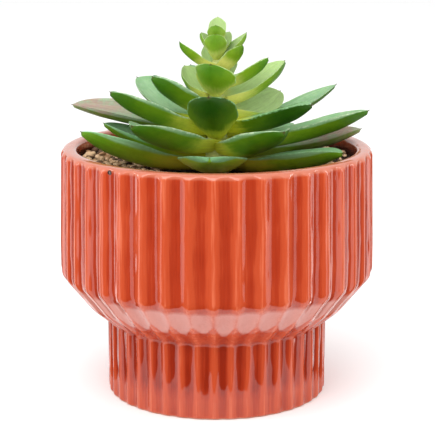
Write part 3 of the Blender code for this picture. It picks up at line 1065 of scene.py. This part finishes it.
HEART, INNER, MIDDLE = LeafKind.HEART, LeafKind.INNER, LeafKind.MIDDLE
PAINTED_SHADE, OUTER, PAINTED_LIGHT, BLUSHED = LeafKind.PAINTED_SHADE, LeafKind.OUTER, LeafKind.PAINTED_LIGHT, LeafKind.BLUSHED
LEAVES = (
    Leaf("leaf_a1_back", HEART, 80.0, 57.5, 4.0, 68.3, 8.0, 0.8),
    Leaf("leaf_a2_front", HEART, 265.0, 56.5, 4.5, 65.5, 8.0, 0.8),
    Leaf("leaf_b1_front", HEART, 264.0, 51.0, 8.5, 62.0, 10.0, 1.0),
    Leaf("leaf_b2_lback", HEART, 155.0, 53.5, 7.4, 61.6, 7.0, 1.0),
    Leaf("leaf_b3_rback", HEART, 50.0, 52.5, 9.0, 61.5, 8.0, 1.0),
    Leaf("leaf_b4_right", HEART, 18.0, 49.5, 14.0, 61.5, 8.0, 1.0),
    Leaf("leaf_c1_rfront", INNER, 325.0, 44.5, 14.0, 57.5, 12.0, 1.0),
    Leaf("leaf_c2_left", INNER, 196.0, 46.5, 17.0, 58.5, 9.0, 1.5),
    Leaf("leaf_c3_back", INNER, 110.0, 43.5, 13.0, 56.5, 9.0, 1.0),
    Leaf("leaf_d1_lfront", INNER, 262.0, 35.5, 19.0, 50.5, 19.0, 2.5, -15.0),
    Leaf("leaf_d2_right", INNER, 348.0, 38.5, 23.0, 51.5, 13.0, 2.0),
    Leaf("leaf_d3_lback", INNER, 140.0, 32.5, 19.0, 46.0, 16.0, 2.5),
    Leaf("leaf_d4_back", INNER, 75.0, 37.0, 20.0, 52.5, 12.0, 2.0),
    Leaf("leaf_e1_left", MIDDLE, 205.0, 26.5, 31.0, 44.5, 22.0, 2.0),
    Leaf("leaf_e2_rback", INNER, 24.0, 30.5, 34.0, 48.0, 18.0, 3.0),
    Leaf("leaf_e3_rback", INNER, 38.0, 24.5, 37.0, 33.0, 21.0, 3.0, 22.0),
    Leaf("leaf_e5_back", INNER, 97.0, 22.6, 41.0, 40.0, 12.0, 3.0),
    Leaf("leaf_e6_back", MIDDLE, 115.0, 27.0, 30.0, 44.5, 15.0, 3.0),
    Leaf("leaf_f0_right", MIDDLE, 1.0, 12.3, 68.0, 27.5, 22.0, 4.0, -5.0),
    Leaf("leaf_f1_front", PAINTED_SHADE, 266.0, 16.5, 36.0, 39.0, 22.0, 3.0),
    Leaf("leaf_f2_left", MIDDLE, 199.0, 18.3, 49.0, 38.3, 22.0, 3.0, 5.0),
    Leaf("leaf_f3_lback", MIDDLE, 145.0, 20.6, 44.0, 39.3, 22.0, 3.0, -12.0),
    Leaf("leaf_f4_right", PAINTED_SHADE, 336.0, 19.7, 45.0, 33.0, 22.0, 3.0),
    Leaf("leaf_f5_rback", MIDDLE, 30.0, 16.5, 64.5, 34.8, 13.0, 3.5, 4.0),
    Leaf("leaf_f6_back", MIDDLE, 115.0, 16.7, 56.0, 30.5, 19.0, 3.0),
    Leaf("leaf_f7_back", MIDDLE, 65.0, 13.5, 56.0, 27.0, 16.0, 3.0),
    Leaf("leaf_g1_lfront", MIDDLE, 229.0, 11.5, 54.0, 27.5, 26.0, 3.0),
    Leaf("leaf_g2_rfront", MIDDLE, 304.0, 10.3, 51.0, 25.2, 25.0, 3.0),
    Leaf("leaf_g4_left", BLUSHED, 163.0, 14.0, 69.5, 27.0, 20.0, -1.0, -8.0),
    Leaf("leaf_g5_right", BLUSHED, 12.0, 6.9, 67.5, 17.0, 20.0, 2.5),
    Leaf("leaf_g6_back", OUTER, 84.0, 8.3, 60.0, 19.5, 19.0, 2.0),
    Leaf("leaf_g7_lback", OUTER, 166.0, 6.5, 53.0, 20.0, 17.0, 3.0),
    Leaf("leaf_h1_left", OUTER, 195.0, 3.5, 61.5, 21.0, 23.0, 5.0, 12.0),
    Leaf("leaf_h3_rfront", OUTER, 337.0, 3.1, 60.0, 12.9, 24.0, 2.5, -5.0),
    Leaf("leaf_h4_front", PAINTED_LIGHT, 268.0, 4.5, 60.0, 17.5, 29.0, 2.5, 0.0, 0.2),
    Leaf("leaf_h5_rback", OUTER, 54.0, 3.3, 60.0, 14.0, 23.0, 2.0),
    Leaf("leaf_h6_lback", OUTER, 124.0, 4.1, 60.0, 14.5, 23.0, 2.0),
)


@dataclass
class Rosette:
    """The stem and every leaf on it, in millimetres, with heights above the soil.

    Clasp is how far a leaf starts inside the stem, and widest is where a leaf is widest, as
    a share of its length.
    """

    bed: Bed
    stem_tip: float = 60.5
    stem_depth: float = 15.5
    stem_shape: tuple[tuple[float, float], ...] = (
        (-7.5, 5.6), (10.5, 5.2), (30.5, 3.8), (48.5, 2.2), (58.5, 1.2),
    )
    scar: float = 0.15
    clasp: float = 0.8
    widest: float = 0.57
    rows: int = 60
    columns: int = 48
    box_slack: float = 1.5 * MM
    skin: StemSkin = field(default_factory=StemSkin)

    def stem_radius(self, height: float | np.ndarray) -> np.ndarray:
        """Give the stem's radius at a height above the soil, in millimetres."""
        heights, radii = zip(*self.stem_shape)
        return np.interp(height, heights, radii)

    def build_stem(self) -> bpy.types.Object:
        """Make the stem: rings whose radius follows the stem's taper with shallow scars.

        A scar is a swelling of up to 0.15 mm that spirals up the stem as a sine of the
        height and the turn. The tip closes as a root of what is left of the height.

        Returns:
            The stem.
        """
        turn = round_turn(48)
        heights = np.linspace(-self.stem_depth, self.stem_tip - 0.2, 150)
        top = np.clip((self.stem_tip - heights) / 2.0, 0.0, 1.0) ** 0.5
        bottom = np.clip((heights + self.stem_depth) / 1.5, 0.0, 1.0) * 0.3 + 0.7
        scars = self.scar * np.sin(heights[:, None] * 2.1 + 2.0 * turn)
        ring = (self.stem_radius(heights) * top * bottom)[:, None] + scars * top[:, None]
        ring = np.maximum(ring - self.scar, 0.2) * MM
        stem = skin_mesh("rosette_stem", turned(ring, self.bed.soil_top + heights * MM, turn))
        return dress(stem, self.skin.material(), "stem")

    def midline(self, leaf: Leaf, along: np.ndarray) -> tuple[np.ndarray, ...]:
        """Bend a leaf's midline from the stem to its tip.

        It is a curve of second degree whose middle hangs by the leaf's sag. The blade rolls
        about it, fully from halfway along.

        Args:
            leaf: The leaf's sizes.
            along: Places along the leaf, 0 at the stem and 1 at the tip.

        Returns:
            The centre, the sideways direction and the upward direction at each place.
        """
        base = np.array([self.stem_radius(leaf.base_height) - self.clasp, 0.0])
        tip = np.array([leaf.reach, leaf.tip_height - leaf.base_height])
        chord = tip - base
        below = np.array([chord[1], -chord[0]]) / np.hypot(*chord)
        middle = (base + tip) / 2.0 + below * leaf.sag * 2.0
        here, left = along[:, None], (1.0 - along)[:, None]
        line = left**2 * base + 2.0 * here * left * middle + here**2 * tip
        slope = left * (middle - base) + here * (tip - middle)
        slope = slope / np.linalg.norm(slope, axis=1)[:, None]
        nought = np.zeros(len(along))
        rise = np.stack([-slope[:, 1], nought, slope[:, 0]], 1)
        side = np.tile([0.0, 1.0, 0.0], (len(along), 1))
        roll = (np.radians(leaf.roll) * np.clip(along / 0.5, 0.0, 1.0))[:, None]
        return (
            np.stack([line[:, 0], nought, line[:, 1]], 1),
            side * np.cos(roll) + rise * np.sin(roll), rise * np.cos(roll) - side * np.sin(roll),
        )

    def half_width(self, leaf: Leaf, along: np.ndarray, point: np.ndarray) -> np.ndarray:
        """Give a leaf's half width along it.

        It grows as a power of a sine to its widest place and then closes as a rounded end.
        A narrow leaf that reaches well out closes more sharply. A faint sine wavers the edge.

        Args:
            leaf: The leaf's sizes.
            along: Places along the leaf, 0 at the stem and 1 at the tip.
            point: How far each place is into the little point at the tip, from 0 to 1.

        Returns:
            Half widths in millimetres.
        """
        begin = 0.42 + 0.24 * min(1.0, max(0.0, (leaf.base_height - 8.0) / 16.0))
        rising = np.sin(np.clip(along / self.widest, 0, 1) * math.pi / 2) ** 1.15
        close = np.clip((along - self.widest) / (0.982 - self.widest), 0, 1)
        keen = min(1.0, max(0.0, (15.0 - leaf.width) / 6.0)) * float(leaf.reach > 12.0)
        close = np.clip(1.0 - close ** (2.2 - 0.7 * keen), 0, 1) ** (0.66 + 0.26 * keen)
        grow = begin + (1.0 - begin) * rising
        half = leaf.width / 2.0 * np.where(along < self.widest, grow, close)
        half = half * (1.0 + 0.025 * np.sin(along * 17.0 + 20.0 * leaf.luck))
        return np.maximum(half, 0.10 * leaf.width**0.8 * (1.0 - point) + 0.04)

    def leaf_surface(self, leaf: Leaf) -> tuple[np.ndarray, dict[str, np.ndarray]]:
        """Work out one leaf as a grid of rings along its midline.

        Each ring is a lens, full below and nearly flat above, thinner towards the tip; the
        cup lifts its edges by the square of the place across, more near the stem. The whole
        blade swings a little to one side by the square of the place along it.

        Args:
            leaf: The leaf's sizes.

        Returns:
            The points, rings by places round the ring by 3, and the numbers for the skin.
        """
        along = np.concatenate([
            np.linspace(0.0, 0.6, self.rows // 2, endpoint=False),
            1.0 - 0.4 * np.linspace(1.0, 0.0, self.rows // 2) ** 1.6,
        ])
        centre, sideways, upward = self.midline(leaf, along)
        point = np.clip((along - 0.950) / 0.050, 0.0, 1.0) ** 0.8
        half = self.half_width(leaf, along, point)
        thick = (1.4 + 0.095 * leaf.width) * (0.75 + 0.25 * np.clip(along / 0.3, 0, 1))
        thick = thick * (1.0 - 0.6 * np.clip((along - 0.75) / 0.25, 0, 1) ** 1.5)
        thick = np.minimum(thick, half * 0.9 + 0.3 * (1.0 - point))

        turn = round_turn(self.columns)
        across = np.cos(turn)
        through = np.sign(np.sin(turn)) * np.abs(np.sin(turn)) ** 1.6
        fold = leaf.cup * (1.0 + 0.5 * np.clip(1.0 - along / 0.35, 0, 1))
        lift = (fold * half)[:, None] * across**2
        lift = lift + np.where(through > 0, 0.22 * through, 0.78 * through) * thick[:, None]
        swing = (leaf.luck - 0.5) * 0.05 * leaf.reach * along**2
        swing = swing + 0.12 * np.sin(along * 9 + leaf.luck * 30)
        aside = half[:, None] * across + (swing * np.clip(along * 4, 0, 1))[:, None]
        rings = centre[:, None] + sideways[:, None] * aside[:, :, None]
        x, y, z = np.moveaxis((rings + upward[:, None] * lift[:, :, None]) * MM, 2, 0)
        aim = math.radians(leaf.direction)
        points = np.stack([
            x * math.cos(aim) - y * math.sin(aim), x * math.sin(aim) + y * math.cos(aim),
            z + self.bed.soil_top + leaf.base_height * MM,
        ], -1)
        whole = np.ones((len(along), self.columns))
        return points, {
            "along": whole * along[:, None], "across": whole * np.abs(across),
            "face": whole * through, "shift": whole * leaf.luck, "wide": whole * across,
        }

    def build_leaves(self) -> list[bpy.types.Object]:
        """Make every leaf and check that it fills its node's box.

        Returns:
            The leaves, in the order of the table.
        """
        skins = {kind: skin.material() for kind, skin in SKINS.items()}
        made = []
        for leaf in LEAVES:
            points, layers = self.leaf_surface(leaf)
            piece = skin_mesh(leaf.node.replace("leaf_", "blade_"), points, layers)
            low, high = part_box(leaf.node)
            flat = points.reshape(-1, 3)
            off = max(np.abs(flat.min(0) - low).max(), np.abs(flat.max(0) - high).max())
            if off > self.box_slack:
                LOG.warning("%s is %.1f mm off its node's box", leaf.node, off / MM)
            made.append(dress(piece, skins[leaf.kind], leaf.node))
        return made


# ---- table, lights and camera --------------------------------------------------------------
@dataclass(frozen=True)
class Softbox:
    """One rectangular lamp: its name, place and size in metres, and its power in watts."""

    name: str
    place: Spot
    size: tuple[float, float]
    power: float


@dataclass(frozen=True)
class Fan:
    """A card lying on the table, from one angle to another, counted from the front."""

    first: float
    last: float
    glow: float = 0.0


@dataclass
class Studio:
    """A pale table under soft light, and a long lens a little above the rim.

    The flag and the fans are cards that show only as reflections in the glaze. Each fan is
    laid on both sides of the pot.
    """

    camera_place: Spot = (0.36 * MM, -0.700, 0.2366)
    camera_down: float = 12.74
    focal_length: float = 132.4
    sensor_width: float = 36.0
    surround: float = 1.05
    lamps: tuple[Softbox, ...] = (
        Softbox("Key above", (-0.20, -0.72, 0.80), (1.1, 0.8), 7.5),
        Softbox("Side left", (-0.95, -0.15, 0.30), (0.08, 0.9), 1.7),
        Softbox("Side right", (0.95, -0.15, 0.30), (0.08, 0.9), 2.0),
    )
    lamp_aim: Spot = (0.0, 0.0, 0.08)
    fans: tuple[Fan, ...] = (
        Fan(74.0, 98.0), Fan(100.0, 107.0, 2.6), Fan(118.0, 150.0), Fan(152.0, 158.0, 2.6),
    )
    card_height: float = 0.8 * MM
    table: TableTop = field(default_factory=TableTop)

    def build_table(self) -> None:
        """Lay the table as one large disc under the foot."""
        radii = np.array([3.2, 3.2, 1.2, 0.5, 0.2, 0.05])
        heights = np.array([-0.02, 0.0, 0.0, 0.0, 0.0, 0.0])
        table = skin_mesh("table", turned(radii, heights, round_turn(64)))
        table.data.materials.append(self.table.material())

    def hang(self, box: Softbox) -> None:
        """Hang one lamp and turn it to the plant.

        Args:
            box: The lamp's name, place, size and power.
        """
        lamp = bpy.data.lights.new(box.name, "AREA")
        lamp.shape = "RECTANGLE"
        lamp.size, lamp.size_y = box.size
        lamp.energy = box.power
        made = bpy.data.objects.new(box.name, lamp)
        made.location = box.place
        away = [here - there for here, there in zip(box.place, self.lamp_aim)]
        tip = math.atan2(math.hypot(away[0], away[1]), away[2])
        made.rotation_euler = (tip, 0.0, math.atan2(away[0], -away[1]))
        bpy.context.scene.collection.objects.link(made)

    def build_lights(self) -> None:
        """Set a white surround, an overhead softbox, and one on each side."""
        world = bpy.data.worlds.new("White surround")
        world.use_nodes = True
        sky = world.node_tree.nodes["Background"]
        sky.inputs["Color"].default_value = (1.0, 1.0, 1.0, 1.0)
        sky.inputs["Strength"].default_value = self.surround
        bpy.context.scene.world = world
        for box in self.lamps:
            self.hang(box)
        bpy.context.scene.view_settings.view_transform = "Standard"

    def build_cards(self) -> None:
        """Lay the dark flag in front of the pot, then the fans beside and behind it.

        The flag starts a little before the pot, lies on the table as a wedge and turns up
        at its far end. A fan is a sector of a ring, with its points on radii from the axis.
        """
        dark = CardPaint()
        spread = np.linspace(-1.0, 1.0, 25)
        out = np.array([0.082, 0.30, 0.60, 0.95, 1.0, 1.0])[:, None]
        up = np.array([self.card_height] * 4 + [0.03, 0.42])[:, None]
        half = np.array([0.12, 0.42, 0.95, 1.55, 1.65, 1.65])[:, None]
        across = half * spread
        flat = np.ones_like(across)
        self.card("flag_front", np.stack([across, -out * flat, up * flat], -1), dark)
        out = np.array([0.068, 0.2, 0.5, 1.2])
        level = np.full(len(out), self.card_height)
        for number, fan in enumerate(self.fans):
            for hand, side in ((-1.0, "left"), (1.0, "right")):
                turn = np.radians(np.linspace(fan.first, fan.last, 9)) * hand - math.pi / 2
                self.card(f"fan_{number}_{side}", turned(out, level, turn), CardPaint(fan.glow))

    def card(self, name: str, points: np.ndarray, paint: CardPaint) -> None:
        """Lay a card that only mirrors can see.

        Args:
            name: The card's name.
            points: Its grid of points, rows by columns by 3.
            paint: Its finish.
        """
        rows, columns, _ = points.shape
        mesh = bpy.data.meshes.new(name)
        index = np.arange(rows * columns).reshape(rows, columns)
        quads = np.stack([index[:-1, :-1], index[:-1, 1:], index[1:, 1:], index[1:, :-1]], -1)
        mesh.from_pydata(points.reshape(-1, 3).tolist(), [], quads.reshape(-1, 4).tolist())
        mesh.materials.append(paint.material())
        card = bpy.data.objects.new(name, mesh)
        bpy.context.scene.collection.objects.link(card)
        card.visible_camera = card.visible_diffuse = card.visible_shadow = False
        card.visible_transmission = False

    def build_camera(self) -> None:
        """Set the camera level across, looking slightly down at the pot."""
        lens = bpy.data.cameras.new("Camera")
        lens.lens = self.focal_length
        lens.sensor_width = self.sensor_width
        lens.clip_start, lens.clip_end = 0.01, 20.0
        made = bpy.data.objects.new("Camera", lens)
        made.location = self.camera_place
        made.rotation_euler = (math.radians(90.0 - self.camera_down), 0.0, 0.0)
        bpy.context.scene.collection.objects.link(made)
        bpy.context.scene.camera = made


def main() -> None:
    """Build the studio, the pot, what fills it and the plant, and log how many leaves there are.
    """
    logging.basicConfig(level=logging.INFO, format="%(name)s: %(message)s")
    studio = Studio()
    studio.build_camera()
    studio.build_lights()
    studio.build_table()
    studio.build_cards()
    pot = Pot()
    pot.build()
    bed = Bed(pot)
    bed.build_soil()
    bed.build_gravel()
    rosette = Rosette(bed)
    rosette.build_stem()
    blades = rosette.build_leaves()
    LOG.info("%d leaves", len(blades))


if __name__ == "__main__":
    main()
